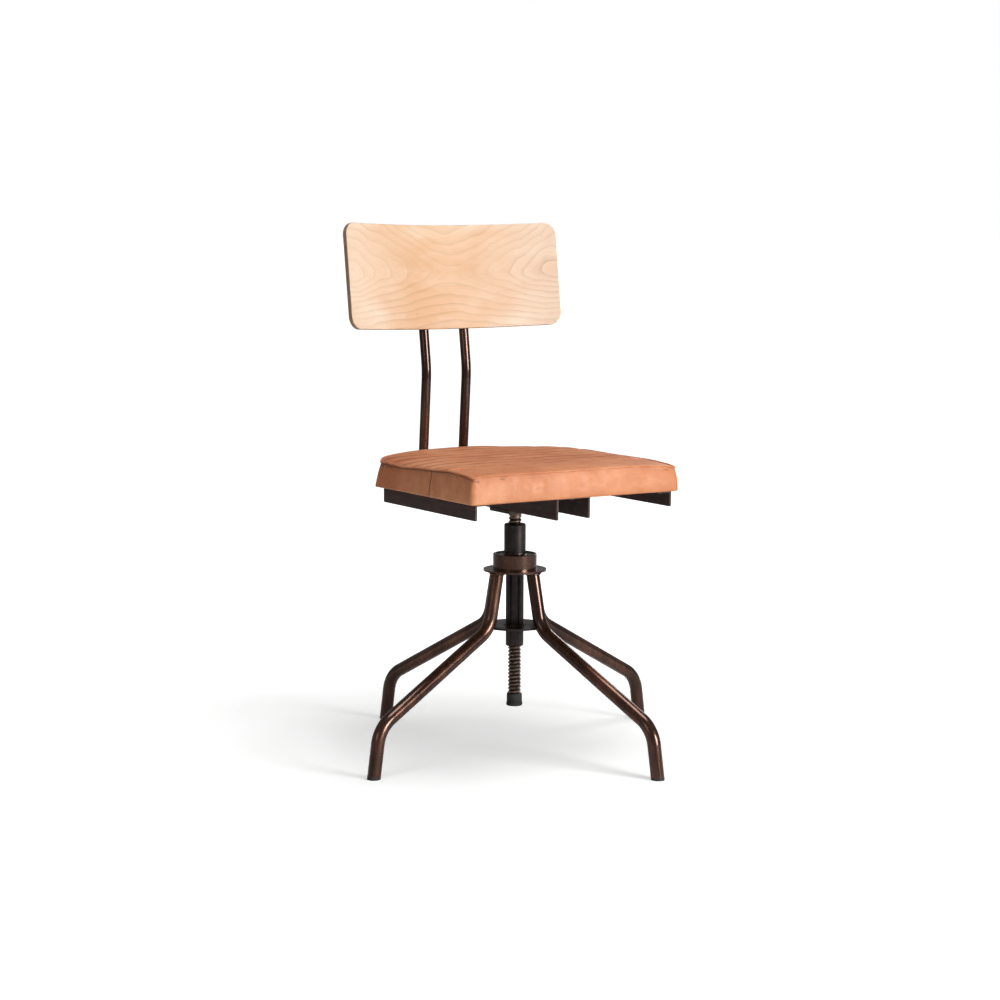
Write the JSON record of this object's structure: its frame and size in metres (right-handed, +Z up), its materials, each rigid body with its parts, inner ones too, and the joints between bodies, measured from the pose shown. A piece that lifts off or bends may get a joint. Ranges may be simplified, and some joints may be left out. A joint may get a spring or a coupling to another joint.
{
  "type": "swivel chair",
  "caption": "Screw-height swivel chair with bent tube legs, a D-shaped leather seat on angle-iron rails and a curved plywood backrest on tubes.",
  "frame": {"origin": "on the floor, on the swivel axis, midway between the feet", "axes": "+Z up along the swivel axis; the sitter faces -Y; +X is on the right of someone standing in front and looking along +Y"},
  "size_m": [0.6168, 0.6168, 0.8411],
  "materials": {
    "bronze_lacquer": "gloss",
    "gunmetal_lacquer": "satin",
    "blackened_iron": "matte",
    "spindle_steel": "satin",
    "bearing_steel": "polished",
    "bearing_brass": "satin",
    "fastener_steel": "satin",
    "black_rubber": "matte",
    "black_plastic": "matte",
    "seat_leather": "satin",
    "seat_padding": "matte",
    "board_plywood": "matte",
    "back_veneer": "satin"
  },
  "bodies": {
    "base": {"leg_right": "bronze_lacquer", "leg_back": "bronze_lacquer", "leg_left": "bronze_lacquer", "leg_front": "bronze_lacquer", "foot_cap_right": "black_rubber", "foot_cap_back": "black_rubber", "foot_cap_left": "black_rubber", "foot_cap_front": "black_rubber", "upper_flange": "bronze_lacquer", "lower_disc": "gunmetal_lacquer", "lower_bush": "bearing_brass", "bearing_cup": "bronze_lacquer", "cup_circlip": "fastener_steel", "bearing_lower_race": "bearing_steel", "ball_cage": "bearing_brass", "bearing_balls": "bearing_steel"},
    "nut_sleeve": {"nut_sleeve": "gunmetal_lacquer", "thrust_collar": "gunmetal_lacquer", "bearing_upper_race": "bearing_steel", "spindle_nut": "bearing_brass", "guide_bush": "bearing_brass"},
    "end_stop": {"end_cap": "black_rubber"},
    "seat": {"back_tube_left": "bronze_lacquer", "back_tube_right": "bronze_lacquer", "back_tube_caps": "black_plastic", "spindle_plate": "blackened_iron", "centre_rail_left": "blackened_iron", "centre_rail_right": "blackened_iron", "outer_rail_left": "blackened_iron", "outer_rail_right": "blackened_iron", "rear_crossbar": "blackened_iron", "spindle": "spindle_steel", "backrest_inserts": "bearing_brass", "end_screw": "fastener_steel", "rail_screws": "fastener_steel", "backrest_bolts": "fastener_steel", "seat_cover": "seat_leather", "seat_foam": "seat_padding", "seat_board": "board_plywood", "backrest_panel": "back_veneer"}
  },
  "joints": [
    {"name": "swivel", "type": "hinge", "parent": "base", "child": "nut_sleeve", "pos_m": [0, 0, 0.3], "axis": [0, 0, 1], "continuous": true},
    {"name": "seat_height", "type": "slide", "parent": "nut_sleeve", "child": "end_stop", "axis": [0, 0, 1], "range_m": [-0.018, 0.072]},
    {"name": "seat_turn", "type": "hinge", "parent": "end_stop", "child": "seat", "pos_m": [0, 0, 0.08], "axis": [0, 0, 1], "range_deg": [-1081, 4322]}
  ],
  "couplings": [
    {"joint": "seat_turn", "follows": "seat_height", "rad_per_m": 1047.2}
  ]
}
